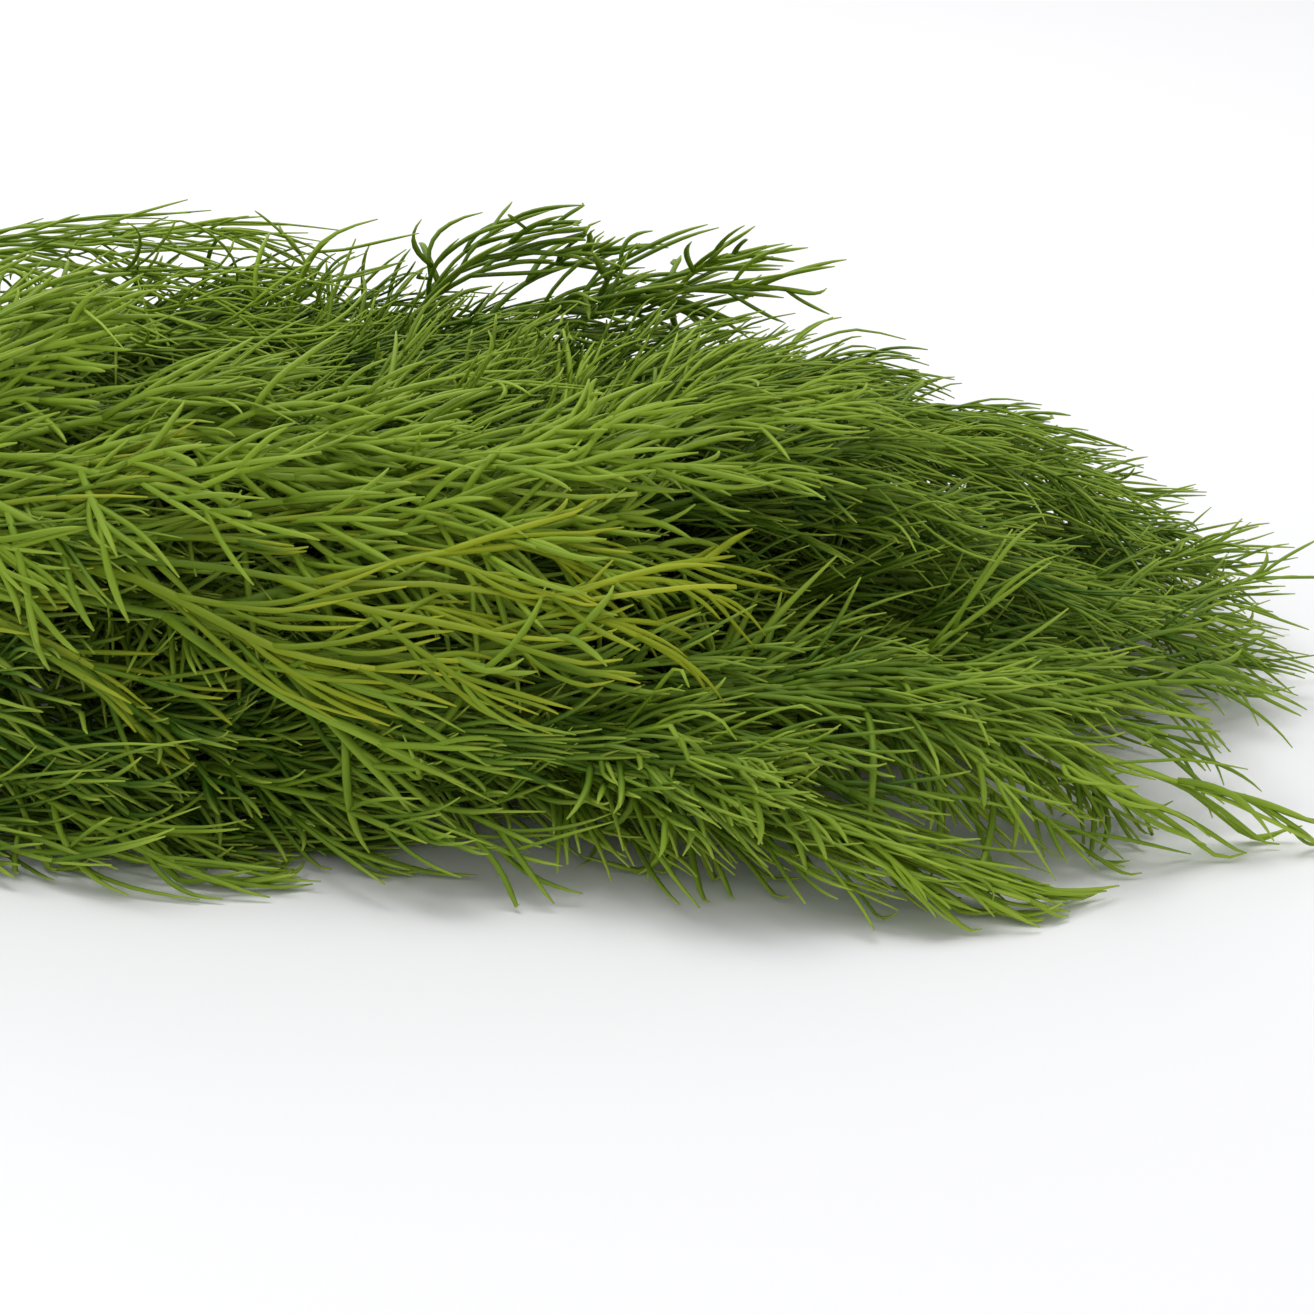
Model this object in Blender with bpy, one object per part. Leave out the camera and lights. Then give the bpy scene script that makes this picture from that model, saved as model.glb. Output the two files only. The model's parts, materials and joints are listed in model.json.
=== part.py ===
"""A bunch of cut dill that lies on a table.

Nineteen stalks are packed in a hexagon and held by a rubber band. Each stalk carries two fronds:
one that ends the stalk and one that leaves its side. Past the band the bunch opens into a flat dome
of fronds. The model is in metres with +Z up. +X runs from the cut ends to the tips, and the origin
is on the table under the middle of the bunch.

Lengths below are in millimetres and are turned to metres when a mesh is made.
"""

import math

import bpy
import numpy as np

MM = 0.001

# Driving dimensions of the whole bunch, along X
CUT_END_X = -150.0
BAND_X = -95.0
HEAD_START_X = -75.0
HEAD_FULL_X = 10.0
TIP_X = 150.0

# The bunch's outline along X: half of its width, and its height on the centre line
OUTLINE_X = (-75.0, -60.0, -30.0, 0.0, 30.0, 60.0, 90.0, 120.0, 140.0, TIP_X)
HALF_WIDTH = (17.0, 21.0, 37.0, 51.0, 58.0, 61.0, 60.0, 57.0, 52.0, 46.0)
HEIGHT = (28.0, 30.0, 42.0, 52.0, 54.0, 49.0, 44.0, 33.0, 24.0, 18.0)
EDGE_HEIGHT = 0.30

# Stations along X at which every stalk and frond has a cross-section
STATIONS = (-150.0, -130.0, -110.0, -101.0, -89.0, -75.0, -60.0, -48.0, -36.0, -24.0, -12.0,
            0.0, 15.0, 30.0, 50.0, 70.0, 90.0, 105.0, 118.0, 130.0, 140.0, TIP_X)

# Stalks: five columns in a hexagon
COLUMN_STALKS = (3, 4, 5, 4, 3)
STALK_PITCH = 4.9
STALK_BASE_RADIUS = 2.2
STALK_END_RADIUS = 1.5
STALK_SIDES = 8
CUT_END_SPREAD = 1.26
CUT_END_LIFT = 1.0
NECK_SPREAD = 1.20
CUT_END_STAGGER = 13.0
STALK_END_X = -18.0
STALK_END_SHORTER_AT_EDGE = 12.0
STALK_END_STAGGER = 5.0
NECK_END_X = -48.0
OWN_HALF_FROM_X = -52.0

# The rubber band
BAND_WIDTH = 7.0
BAND_THICKNESS = 1.4
BAND_SEGMENTS = 24
BAND_EDGE_FLAT = 1.25
BAND_FACE_FLAT = 1.6

# Fronds
FROND_SIDES = 8
PETIOLE_RADIUS = 0.9
FROND_HALF_THICKNESS = 2.6
FROND_TIP_HALF_WIDTH = 1.6
CELL_FILL_ACROSS = 0.88
CELL_FILL_UP = 0.42
LOBE_REACH = 15.0
LOBE_START_X = 50.0
SIDE_FROND_START_X = -43.0
SIDE_FROND_STAGGER = 4.0
GAP = 0.3
FLAT_START_X = 12.0
STATION_CLEARANCE = 3.0

# Where the fronds of each column end, from the table upwards, two for each stalk
FROND_TIPS = (
    (118.0, 149.0, 140.0, 118.0, 98.0, 80.0),
    (140.0, 150.0, 146.0, 149.0, 130.0, 118.0, 99.0, 74.0),
    (130.0, 149.0, 150.0, 146.0, 149.0, 140.0, 130.0, 118.0, 98.0, 64.0),
    (140.0, 149.0, 146.0, 150.0, 140.0, 124.0, 110.0, 105.0),
    (118.0, 146.0, 149.0, 130.0, 112.0, 90.0),
)
YELLOW_FROND = (0, 4)

# Colours, linear
STALK_COLOUR = (0.49, 0.52, 0.15, 1.0)
FROND_COLOUR = (0.07, 0.11, 0.013, 1.0)
YELLOW_COLOUR = (0.16, 0.18, 0.012, 1.0)
BAND_COLOUR = (0.52, 0.32, 0.15, 1.0)


def smooth(x, start, end):
    """0 before start, 1 after end, and a smooth S between them."""
    t = min(max((x - start) / (end - start), 0.0), 1.0)
    return t * t * (3.0 - 2.0 * t)


def make_material(name, colour, roughness):
    """A Principled BSDF material with one colour."""
    material = bpy.data.materials.new(name)
    material.use_nodes = True
    shader = material.node_tree.nodes["Principled BSDF"]
    shader.inputs["Base Color"].default_value = colour
    shader.inputs["Roughness"].default_value = roughness
    return material


def neck_spread(x):
    """How far the stalks stand apart, as a multiple of their pitch in the band."""
    if x < BAND_X:
        return 1.0 + (CUT_END_SPREAD - 1.0) * smooth(BAND_X - x, BAND_WIDTH, BAND_X - CUT_END_X)
    return 1.0 + (NECK_SPREAD - 1.0) * smooth(x, BAND_X + BAND_WIDTH, NECK_END_X)


def bundle_height(x):
    """Height of the bundle's centre line over the table."""
    in_band = 2.0 * STALK_PITCH + STALK_BASE_RADIUS + GAP + BAND_THICKNESS
    return in_band + CUT_END_LIFT * smooth(BAND_X - x, 0.0, BAND_X - CUT_END_X)


class Cell:
    """The space of one stalk and its two fronds, from the cut end to the tips.

    Up to the band it is a square round the stalk's place in the hexagon. In the head it is a brick
    of the dome: its column's share of the width and its level's share of the height.
    """

    def __init__(self, column, level):
        columns = len(COLUMN_STALKS)
        levels = COLUMN_STALKS[column]
        self.y = (column - (columns - 1) / 2) * STALK_PITCH * math.sqrt(3.0) / 2.0
        self.z = (level - (levels - 1) / 2) * STALK_PITCH
        self.across = -1.0 + (2 * column + 1) / columns
        self.half_across = 1.0 / columns
        self.up = (level + 0.5) / levels
        self.half_up = 0.5 / levels
        self.column = column
        self.level = level

    def point(self, x, p, q):
        """Y and Z at station x, for p across and q up the cell, each from -1 to 1."""
        p = np.asarray(p, dtype=float)
        q = np.asarray(q, dtype=float)
        spread = neck_spread(x)
        neck_y = (self.y + p * STALK_PITCH / 2) * spread
        neck_z = (self.z + q * STALK_PITCH / 2) * spread + bundle_height(x)
        across = self.across + p * self.half_across
        up = self.up + q * self.half_up
        dome = EDGE_HEIGHT + (1.0 - EDGE_HEIGHT) * np.sqrt(np.maximum(1.0 - across ** 2, 0.0))
        head_y = across * np.interp(x, OUTLINE_X, HALF_WIDTH)
        head_z = up * dome * np.interp(x, OUTLINE_X, HEIGHT)
        t = smooth(x, HEAD_START_X, HEAD_FULL_X)
        return neck_y + t * (head_y - neck_y), neck_z + t * (head_z - neck_z)

    def half_size(self, x):
        """Half of the cell's width and of its height at station x."""
        y, z = self.point(x, (-1.0, 1.0, 0.0, 0.0), (0.0, 0.0, -1.0, 1.0))
        return (y[1] - y[0]) / 2.0, (z[3] - z[2]) / 2.0


def ring_angles(sides):
    """Equal steps round a cross-section, from the far side up over the top."""
    return np.arange(sides) * 2.0 * math.pi / sides


def loft(name, rings, material):
    """A closed body through rings of points, with a flat cap at each end. Rings are N x 3, in mm."""
    sides = len(rings[0])
    count = len(rings)
    points = np.concatenate(rings) * MM
    faces = [tuple(reversed(range(sides)))]
    for ring in range(count - 1):
        for side in range(sides):
            after = (side + 1) % sides
            low = ring * sides
            high = low + sides
            faces.append((low + side, low + after, high + after, high + side))
    faces.append(tuple(range((count - 1) * sides, count * sides)))
    return add_object(name, points, faces, material)


def add_object(name, points, faces, material):
    """A mesh object in the scene, with one material."""
    mesh = bpy.data.meshes.new(name)
    mesh.from_pydata([tuple(point) for point in points], [], faces)
    mesh.materials.append(material)
    mesh.shade_smooth()
    piece = bpy.data.objects.new(name, mesh)
    bpy.context.collection.objects.link(piece)
    return piece


def stations_between(start, end):
    """Start, the shared stations that lie between with some room, and end."""
    inner = [x for x in STATIONS if start + STATION_CLEARANCE < x < end - STATION_CLEARANCE]
    return [start] + inner + [end]


def stalk_end_x(cell):
    """Where a stalk ends and its last frond begins, longer on the centre line than at the edges."""
    turn = (cell.level * 2 + cell.column) % 3
    return STALK_END_X - STALK_END_SHORTER_AT_EDGE * abs(cell.across) - STALK_END_STAGGER * turn


def side_frond_start_x(number):
    """Where a stalk's side frond leaves it, at one of five places in turn."""
    return SIDE_FROND_START_X + SIDE_FROND_STAGGER * ((number * 3) % 5)


def stalk_level(cell, x, side_is_up):
    """The stalk's place up its cell: in the middle at the neck, then over to its own half."""
    own_half = -0.5 if side_is_up else 0.5
    return own_half * smooth(x, HEAD_START_X, OWN_HALF_FROM_X)


def make_stalk(number, cell, side_is_up, material):
    """A round stalk from its cut end to its last frond, thinner all the way."""
    start = CUT_END_X + CUT_END_STAGGER * ((number * 7) % 19) / 19.0
    end = stalk_end_x(cell)
    angles = ring_angles(STALK_SIDES)
    rings = []
    for x in stations_between(start, end):
        along = (x - CUT_END_X) / (end - CUT_END_X)
        radius = STALK_BASE_RADIUS + (STALK_END_RADIUS - STALK_BASE_RADIUS) * along
        y, z = cell.point(x, 0.0, stalk_level(cell, x, side_is_up))
        z = max(z, radius)
        rings.append(np.column_stack((
            np.full(STALK_SIDES, x),
            y + radius * np.cos(angles),
            z + radius * np.sin(angles),
        )))
    return loft(f"stalk_{number + 1:02d}", rings, material)


def frond_half_sizes(cell, x, along):
    """Half width and half thickness of a frond: a thin petiole, a broad middle and a narrow tip."""
    swell = max(math.sin(math.pi * along ** 0.75), 0.0) ** 0.55
    cell_width, cell_height = cell.half_size(x)
    widest = CELL_FILL_ACROSS * cell_width
    thickest = min(CELL_FILL_UP * cell_height, FROND_HALF_THICKNESS)
    end_width = PETIOLE_RADIUS + (FROND_TIP_HALF_WIDTH - PETIOLE_RADIUS) * along
    end_thickness = min(PETIOLE_RADIUS, thickest)
    return (end_width + (widest - end_width) * swell,
            end_thickness + (thickest - end_thickness) * swell)


def make_frond(number, cell, level_in_cell, start, end, lies_on_table, material):
    """A frond's blade: a flat feather that follows its half of the cell to its tip.

    A frond of the lowest level is pressed flat on the table, and the one nearest the front edge
    reaches outwards beyond its column.
    """
    angles = ring_angles(FROND_SIDES)
    in_front_lobe = lies_on_table and cell.column == 0
    rings = []
    for x in stations_between(start, end):
        along = (x - start) / (end - start)
        half_width, half_thickness = frond_half_sizes(cell, x, along)
        cell_width, cell_height = cell.half_size(x)
        p = np.cos(angles) * half_width / cell_width
        q = level_in_cell + np.sin(angles) * half_thickness / cell_height
        y, z = cell.point(x, p, q)
        if lies_on_table and x > FLAT_START_X:
            z[np.sin(angles) < -0.1] = 0.0
        if in_front_lobe:
            y = y - LOBE_REACH * smooth(x, LOBE_START_X, end)
        rings.append(np.column_stack((np.full(FROND_SIDES, x), y, z)))
    return loft(f"frond_{number + 1:02d}", rings, material)


def make_band(material):
    """A flat rubber band drawn tight round the hexagon of stalks.

    Its path is the hexagon's six corner stalks with a length of arc round each and a straight run
    between them; its section is a flat rectangle with its edges rounded.
    """
    corners = np.arange(6) * math.pi / 3.0 + math.pi / 2.0
    corner_points = 2.0 * STALK_PITCH * np.column_stack((np.cos(corners), np.sin(corners)))
    normals = (np.arange(BAND_SEGMENTS) + 0.5) * 2.0 * math.pi / BAND_SEGMENTS
    section = ring_angles(8) + math.pi / 8.0
    half_x = BAND_WIDTH / 2.0
    half_t = BAND_THICKNESS / 2.0
    along_x = np.clip(np.cos(section) * BAND_EDGE_FLAT, -1.0, 1.0) * half_x
    outwards = np.clip(np.sin(section) * BAND_FACE_FLAT, -1.0, 1.0) * half_t
    stalk_surface = STALK_BASE_RADIUS + GAP + half_t
    points = []
    for angle in normals:
        normal = np.array((math.cos(angle), math.sin(angle)))
        corner = corner_points[np.argmax(corner_points @ normal)]
        ring = corner + np.outer(stalk_surface + outwards, normal)
        points.append(np.column_stack((BAND_X + along_x, ring[:, 0], ring[:, 1])))
    points = np.concatenate(points)
    points[:, 2] += bundle_height(BAND_X)
    points[:, 2] = np.maximum(points[:, 2], 0.0)
    sides = len(section)
    faces = []
    for ring in range(BAND_SEGMENTS):
        for side in range(sides):
            low = ring * sides
            high = ((ring + 1) % BAND_SEGMENTS) * sides
            after = (side + 1) % sides
            faces.append((low + side, low + after, high + after, high + side))
    return add_object("rubber_band", points * MM, faces, material)


def stand_on_origin(pieces):
    """Parent the pieces to an empty that puts the origin on the table under the bunch's middle."""
    corners = np.array([
        tuple(vertex.co) for piece in pieces for vertex in piece.data.vertices
    ])
    low = corners.min(axis=0)
    high = corners.max(axis=0)
    bunch = bpy.data.objects.new("dill_bunch", None)
    bunch.location = (-(low[0] + high[0]) / 2.0, -(low[1] + high[1]) / 2.0, -low[2])
    bpy.context.collection.objects.link(bunch)
    for piece in pieces:
        piece.parent = bunch


def make_bunch():
    """All the stalks with their fronds, column by column, and the band."""
    stalk_material = make_material("dill stalk", STALK_COLOUR, 0.45)
    frond_material = make_material("dill frond", FROND_COLOUR, 0.55)
    yellow_material = make_material("dill frond turning yellow", YELLOW_COLOUR, 0.55)
    band_material = make_material("natural rubber", BAND_COLOUR, 0.6)
    pieces = []
    fronds = 0
    stalks = 0
    for column, levels in enumerate(COLUMN_STALKS):
        for level in range(levels):
            cell = Cell(column, level)
            side_is_up = column % 2 == 0
            pieces.append(make_stalk(stalks, cell, side_is_up, stalk_material))
            for half in (0, 1):
                tip = FROND_TIPS[column][2 * level + half]
                is_side = (half == 1) == side_is_up
                start = side_frond_start_x(stalks) if is_side else stalk_end_x(cell) + GAP
                level_in_cell = 0.5 if half == 1 else -0.5
                on_table = level == 0 and half == 0
                is_yellow = (column, 2 * level + half) == YELLOW_FROND
                material = yellow_material if is_yellow else frond_material
                pieces.append(
                    make_frond(fronds, cell, level_in_cell, start, tip, on_table, material)
                )
                fronds += 1
            stalks += 1
    pieces.append(make_band(band_material))
    stand_on_origin(pieces)


for old in list(bpy.data.objects):
    bpy.data.objects.remove(old, do_unlink=True)
make_bunch()
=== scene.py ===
import json
import math

import bpy
import numpy as np
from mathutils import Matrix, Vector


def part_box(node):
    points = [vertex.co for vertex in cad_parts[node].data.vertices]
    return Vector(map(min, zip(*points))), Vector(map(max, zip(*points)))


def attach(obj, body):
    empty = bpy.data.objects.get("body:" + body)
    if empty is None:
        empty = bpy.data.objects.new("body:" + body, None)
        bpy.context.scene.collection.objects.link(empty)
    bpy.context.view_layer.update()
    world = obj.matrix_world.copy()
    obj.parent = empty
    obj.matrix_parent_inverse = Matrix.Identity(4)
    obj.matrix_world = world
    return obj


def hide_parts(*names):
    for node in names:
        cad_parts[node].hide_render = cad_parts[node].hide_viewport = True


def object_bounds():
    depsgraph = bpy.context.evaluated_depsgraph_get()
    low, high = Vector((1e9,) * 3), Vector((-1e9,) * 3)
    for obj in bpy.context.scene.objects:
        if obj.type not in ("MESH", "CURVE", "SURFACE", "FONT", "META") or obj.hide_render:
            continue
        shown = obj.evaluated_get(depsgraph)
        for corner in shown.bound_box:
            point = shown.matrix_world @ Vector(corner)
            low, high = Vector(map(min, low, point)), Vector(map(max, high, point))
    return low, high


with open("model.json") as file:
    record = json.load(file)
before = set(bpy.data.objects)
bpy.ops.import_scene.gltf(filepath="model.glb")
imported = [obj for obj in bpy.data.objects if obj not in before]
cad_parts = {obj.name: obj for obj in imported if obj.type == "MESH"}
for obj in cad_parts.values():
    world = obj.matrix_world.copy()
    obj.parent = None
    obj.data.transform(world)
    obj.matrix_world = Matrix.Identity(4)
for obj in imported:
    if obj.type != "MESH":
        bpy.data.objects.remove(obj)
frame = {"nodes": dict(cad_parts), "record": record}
cad_low, cad_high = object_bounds()

# ---------------------------------------------------------------------------------------------
# Table, camera and light. The bunch lies on a white table in a bright room: one broad soft light
# overhead, one low from the far side, and white surroundings that fill the shadows. Metres.
# ---------------------------------------------------------------------------------------------
CAMERA_BACK = 0.2238         # from the bunch's near side
CAMERA_FROM_TIPS = 0.068     # along X, back from the tips
CAMERA_HEIGHT = 0.1166
CAMERA_NEAREST = 0.01
CAMERA_TILT_DOWN = 22.0      # degrees
CAMERA_LENS = 70.0           # lens and sensor in millimetres
CAMERA_SENSOR = 36.0
LIT_SPOT = (0.06, 0.0, 0.02)
ROOM_BRIGHTNESS = 0.7
TABLE_REACH = 3.0


def linear(code):
    """A hex colour as linear RGBA: each channel by the sRGB curve."""
    channels = [int(code[i:i + 2], 16) / 255.0 for i in (1, 3, 5)]
    curve = [c / 12.92 if c <= 0.04045 else ((c + 0.055) / 1.055) ** 2.4 for c in channels]
    return (*curve, 1.0)


def finish_named(name):
    """A new material, its node tree and its Principled shader."""
    material = bpy.data.materials.new(name)
    material.use_nodes = True
    return material, material.node_tree, material.node_tree.nodes["Principled BSDF"]


def soft_light(name, place, size, power):
    """A square area light at place that faces the lit spot: it looks down, and is tilted by the
    spot's angle from straight below and turned round Z to the spot's side."""
    lamp = bpy.data.lights.new(name, "AREA")
    lamp.size = size
    lamp.energy = power
    holder = bpy.data.objects.new(name, lamp)
    way = np.array(LIT_SPOT) - np.array(place)
    flat = math.hypot(way[0], way[1])
    holder.location = place
    holder.rotation_euler = (math.atan2(flat, -way[2]), 0.0, math.atan2(-way[0], way[1]))
    bpy.context.collection.objects.link(holder)


camera = bpy.data.cameras.new("camera")
camera.lens = CAMERA_LENS
camera.sensor_width = CAMERA_SENSOR
camera.clip_start = CAMERA_NEAREST
camera_stand = bpy.data.objects.new("camera", camera)
camera_stand.location = (cad_high.x - CAMERA_FROM_TIPS, cad_low.y - CAMERA_BACK, CAMERA_HEIGHT)
camera_stand.rotation_euler = (math.radians(90.0 - CAMERA_TILT_DOWN), 0.0, 0.0)
bpy.context.collection.objects.link(camera_stand)
bpy.context.scene.camera = camera_stand

world = bpy.data.worlds.new("bright room")
world.use_nodes = True
world.node_tree.nodes["Background"].inputs["Color"].default_value = linear("#FBFBFD")
world.node_tree.nodes["Background"].inputs["Strength"].default_value = ROOM_BRIGHTNESS
bpy.context.scene.world = world
bpy.context.scene.view_settings.view_transform = "Standard"

soft_light("overhead", place=(-0.1, 0.25, 1.1), size=0.7, power=6.4)
soft_light("far side", place=(-0.5, 1.2, 0.8), size=0.5, power=2.3)

# White laminate, pressed smooth with a matte sheet: shadows on it stay soft and nothing mirrors
table_finish, _, table_shader = finish_named("white laminate")
table_shader.inputs["Base Color"].default_value = linear("#F4F4F5")
table_shader.inputs["Roughness"].default_value = 0.6
table_mesh = bpy.data.meshes.new("table")
table_corners = [(x * TABLE_REACH, y * TABLE_REACH, 0.0)
                 for x, y in ((-1, -1), (1, -1), (1, 1), (-1, 1))]
table_mesh.from_pydata(table_corners, [], [(0, 1, 2, 3)])
table_mesh.materials.append(table_finish)
table = bpy.data.objects.new("table", table_mesh)
bpy.context.collection.objects.link(table)

# ---------------------------------------------------------------------------------------------
# Stalks. Each is a fresh green dill stem, hollow and finely ribbed, cut square with a knife. It
# follows its CAD stalk from the cut end to its last frond, and a swollen sheath on it holds the
# base of the frond before that. Sizes from here on are in millimetres.
# ---------------------------------------------------------------------------------------------
MM = 0.001
STATION_GAP = 0.05           # points closer than this along X are in one cross-section
STALK_SIDES = 24
STALK_RINGS = 48
STALK_RIBS = 8
RIB_DEPTH = 0.05             # of the stalk's radius
MIDRIB_RADIUS = 0.62
OFF_TABLE = 0.05
STALK_SEED = 100             # added to a stalk's number


def stations_of(node):
    """Reads a node's cross-sections: places along X, and for each the middle of its points and the
    half width, as a vector, of its longer direction in the YZ plane."""
    points = np.array([v.co for v in frame["nodes"][node].data.vertices], float) / MM
    stops = np.unique(points[:, 0].round(2))
    middles = []
    halves = []
    for stop in stops:
        ring = np.unique(points[np.abs(points[:, 0] - stop) < STATION_GAP].round(3), axis=0)
        middle = ring.mean(axis=0)
        out = ring[:, 1:] - middle[1:]
        long_way = np.linalg.svd(out, full_matrices=False)[2][0]
        if long_way[0] < 0.0:
            long_way = -long_way
        middles.append((stop, middle[1], middle[2]))
        halves.append((0.0, *(long_way * np.abs(out @ long_way).max())))
    return stops, np.array(middles), np.array(halves)


def unit(vectors):
    """Vectors of length one, along the last axis: each divided by its length."""
    return vectors / np.maximum(np.linalg.norm(vectors, axis=-1, keepdims=True), 1e-9)


def eased(values, rounds):
    """Smooths rows: each becomes half of itself and a quarter of each neighbour, for a number of
    rounds. The ends stay."""
    values = values.copy()
    for _ in range(rounds):
        values[1:-1] = 0.25 * values[:-2] + 0.5 * values[1:-1] + 0.25 * values[2:]
    return values


def rows_at(where, stops, rows):
    """Rows at the places where, each column in a straight line between the rows at the stops."""
    return np.stack([np.interp(where, stops, column) for column in rows.T], axis=-1)


def angles_round(sides):
    """Even angles round a tube, from 0 up to a full turn."""
    return np.arange(sides) * 2.0 * math.pi / sides


def tubes(path, wide, deep, up, sides, ahead=None, scale=1.0):
    """Tubes round N paths of K points: at each point an ellipse of half width wide across the
    path and half depth deep over it, times scale at each of its sides. Its frame is made from up
    and the direction ahead, which is the path's own if not given. Returns N x K x sides x 3."""
    if ahead is None:
        ahead = unit(np.gradient(path, axis=1))
    across = unit(np.cross(up, ahead))
    over = np.cross(ahead, across)
    angle = angles_round(sides)
    out = wide[..., None] * np.cos(angle) * scale
    rise = deep[..., None] * np.sin(angle) * scale
    return (path[:, :, None] + out[..., None] * across[:, :, None]
            + rise[..., None] * over[:, :, None])


def tube_faces(count, rings, sides):
    """The corners of closed tubes' faces, as numbers of points: four for each wall face, between
    two neighbouring rings and two neighbouring sides, and a whole ring for each of the two caps."""
    tube = np.arange(count)[:, None, None] * rings * sides
    ring, side = np.meshgrid(np.arange(rings - 1), np.arange(sides), indexing="ij")
    after = (side + 1) % sides
    walls = np.stack((ring * sides + side, ring * sides + after,
                      (ring + 1) * sides + after, (ring + 1) * sides + side), axis=-1)
    caps = np.stack((np.arange(sides)[::-1], (rings - 1) * sides + np.arange(sides)))
    return tube[..., None] + walls, tube + caps


# Each tube has a square cell of the UV map: its wall fills most of it, its caps are discs below
WALL_CORNER = np.array((0.05, 0.2))
WALL_SIZE = np.array((0.9, 0.75))
CAP_RADIUS = 0.06
BASE_CAP = (0.3, 0.1)
TIP_CAP = (0.7, 0.1)


def tube_cells(cells, grid, rings, sides):
    """The places of those corners in a UV map of grid x grid cells, for the tubes with these cells:
    walls unrolled, round the tube across the cell and along it up the cell, then caps as discs."""
    origin = np.stack((cells % grid, cells // grid), axis=-1)
    ring, side = np.meshgrid(np.arange(rings - 1), np.arange(sides), indexing="ij")
    round_it = np.stack((side, side + 1, side + 1, side), axis=-1) / sides
    up_it = np.stack((ring, ring, ring + 1, ring + 1), axis=-1) / (rings - 1)
    walls = WALL_CORNER + WALL_SIZE * np.stack((round_it, up_it), axis=-1)
    angle = angles_round(sides)
    disc = CAP_RADIUS * np.stack((np.cos(angle), np.sin(angle)), axis=-1)
    caps = np.stack(((disc + BASE_CAP)[::-1], disc + TIP_CAP))
    return [(origin[:, None, None, None] + walls).reshape(-1, 2) / grid,
            (origin[:, None, None] + caps).reshape(-1, 2) / grid]


def tube_piece(name, groups, material):
    """One mesh object from groups of closed tubes. Each group holds the tubes' points and numbers
    to write to the mesh: tone, one for each tube, way, one for each ring, and groove, one for each
    side, which marks the stalks' grooves and the top side of each thread, where painted shade goes."""
    grid = math.ceil(math.sqrt(sum(len(group["points"]) for group in groups)))
    points, tones, ways, grooves = [], [], [], []
    corners, sizes, places = [], [], []
    first_point = first_cell = 0
    for group in groups:
        count, rings, sides = group["points"].shape[:3]
        points.append(group["points"].reshape(-1, 3))
        tones.append(np.repeat(group["tone"], rings * sides))
        ways.append(np.repeat(group["way"].reshape(-1), sides))
        grooves.append(np.tile(group["groove"], count * rings))
        walls, caps = tube_faces(count, rings, sides)
        corners += [first_point + walls.reshape(-1), first_point + caps.reshape(-1)]
        sizes += [np.full(walls.size // 4, 4), np.full(2 * count, sides)]
        places += tube_cells(first_cell + np.arange(count), grid, rings, sides)
        first_point += count * rings * sides
        first_cell += count
    points = np.concatenate(points) * MM
    corners = np.concatenate(corners)
    sizes = np.concatenate(sizes)
    starts = np.cumsum(sizes) - sizes
    mesh = bpy.data.meshes.new(name)
    mesh.vertices.add(len(points))
    mesh.vertices.foreach_set("co", points.astype(np.float32).ravel())
    mesh.loops.add(len(corners))
    mesh.loops.foreach_set("vertex_index", corners.astype(np.int32))
    mesh.polygons.add(len(starts))
    mesh.polygons.foreach_set("loop_start", starts.astype(np.int32))
    mesh.update(calc_edges=True)
    layer = mesh.uv_layers.new(name="OFBake")
    layer.uv.foreach_set("vector", np.concatenate(places).astype(np.float32).ravel())
    for title, numbers in (("tone", tones), ("way", ways), ("groove", grooves)):
        held = mesh.attributes.new(title, "FLOAT", "POINT")
        held.data.foreach_set("value", np.concatenate(numbers).astype(np.float32))
    mesh.shade_smooth()
    mesh.materials.append(material)
    piece = bpy.data.objects.new(name, mesh)
    bpy.context.collection.objects.link(piece)
    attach(piece, "root")
    return piece


def add(tree, kind, links=None, **settings):
    """Adds a node to a tree, with its settings, and joins or sets the named or numbered inputs."""
    node = tree.nodes.new(kind)
    for name, value in settings.items():
        setattr(node, name, value)
    for name, value in (links or {}).items():
        if isinstance(value, bpy.types.NodeSocket):
            tree.links.new(value, node.inputs[name])
        else:
            node.inputs[name].default_value = value
    return node


def scale_for(size):
    """The scale of a noise whose features are size millimetres across: how many fit in a metre."""
    return 1.0 / (size * MM)


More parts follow.
